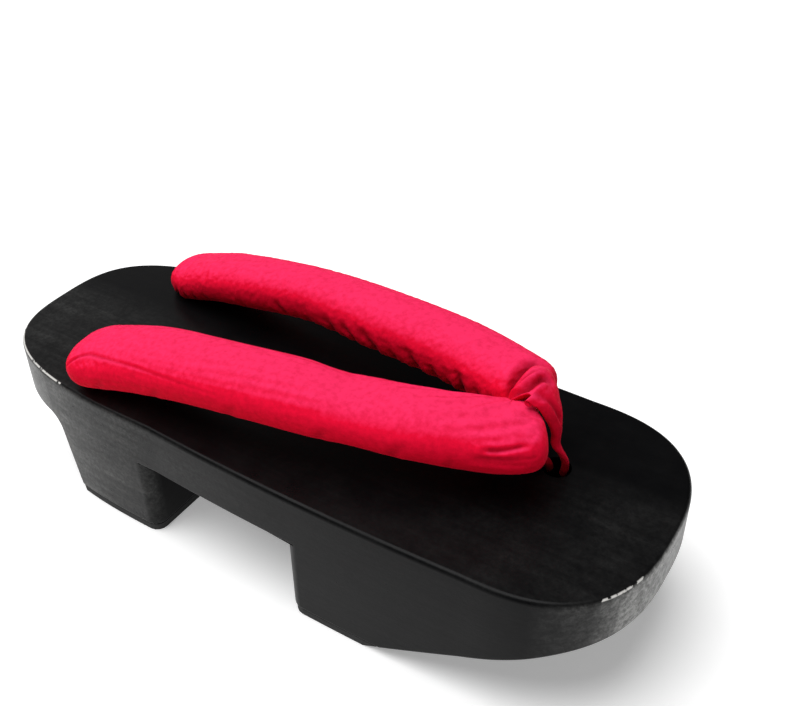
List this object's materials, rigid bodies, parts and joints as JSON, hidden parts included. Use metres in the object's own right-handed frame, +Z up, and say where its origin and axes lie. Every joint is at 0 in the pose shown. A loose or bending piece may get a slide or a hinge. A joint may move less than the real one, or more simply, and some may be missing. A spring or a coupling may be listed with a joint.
{
  "type": "geta sandal",
  "caption": "Low wooden clog sandal on two teeth: lacquered footboard with a slanted front tooth, padded cloth V strap, toe loop and rubber treads.",
  "frame": {"origin": "on the floor under the middle of the footboard's length and width", "axes": "+X towards the toe, +Y towards the big toe's side, +Z up"},
  "size_m": [0.24, 0.0902, 0.0825],
  "materials": {
    "lacquered_wood": "black satin lacquer over wood, grain faintly raised",
    "tread_rubber": "matte black sheet rubber",
    "red_cotton": "matte crimson cotton with a soft nap"
  },
  "bodies": {
    "root": {"dai_body": "lacquered_wood", "rear_tooth_rubber": "tread_rubber", "front_tooth_rubber": "tread_rubber", "hanao_strap": "red_cotton", "maetsubo_toe_loop": "red_cotton"}
  },
  "joints": []
}
